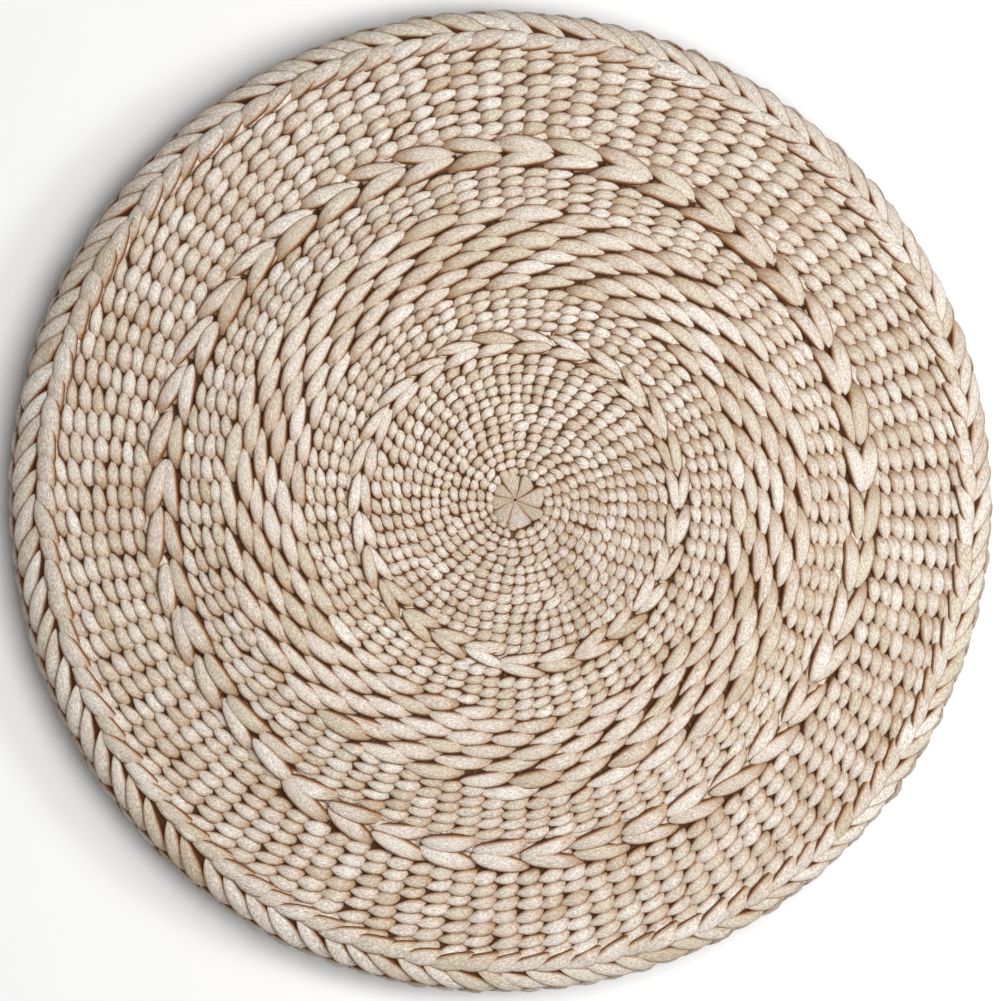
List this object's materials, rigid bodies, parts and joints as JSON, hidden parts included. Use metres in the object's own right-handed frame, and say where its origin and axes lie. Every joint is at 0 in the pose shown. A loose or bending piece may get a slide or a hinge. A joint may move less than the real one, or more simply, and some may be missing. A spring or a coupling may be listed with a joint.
{
  "type": "woven plant-fibre meditation mat",
  "caption": "Round meditation mat of twined plant fibre, a low crown on a flat underside, with bands of leaf-shaped and herringbone stitches, a plaited rim and a star of folded strips.",
  "frame": {"origin": "middle of the flat underside, on the floor", "axes": "+Z up out of the crown; +X to the right and +Y up in the reference view; the mat is a little wider along X"},
  "size_m": [0.4034, 0.4004, 0.0609],
  "materials": {
    "body_weave": "dry, matt twisted plant leaf, cream to tan, with fine lengthwise fibres",
    "rim_plait": "dry, matt plaited plant leaf, cream, with fine lengthwise fibres",
    "star_strip": "flat folded strips of dry plant leaf, tan, with dark creases"
  },
  "bodies": {
    "root": {"woven_body": "body_weave", "rim_plait": "rim_plait", "centre_star": "star_strip"}
  },
  "joints": []
}
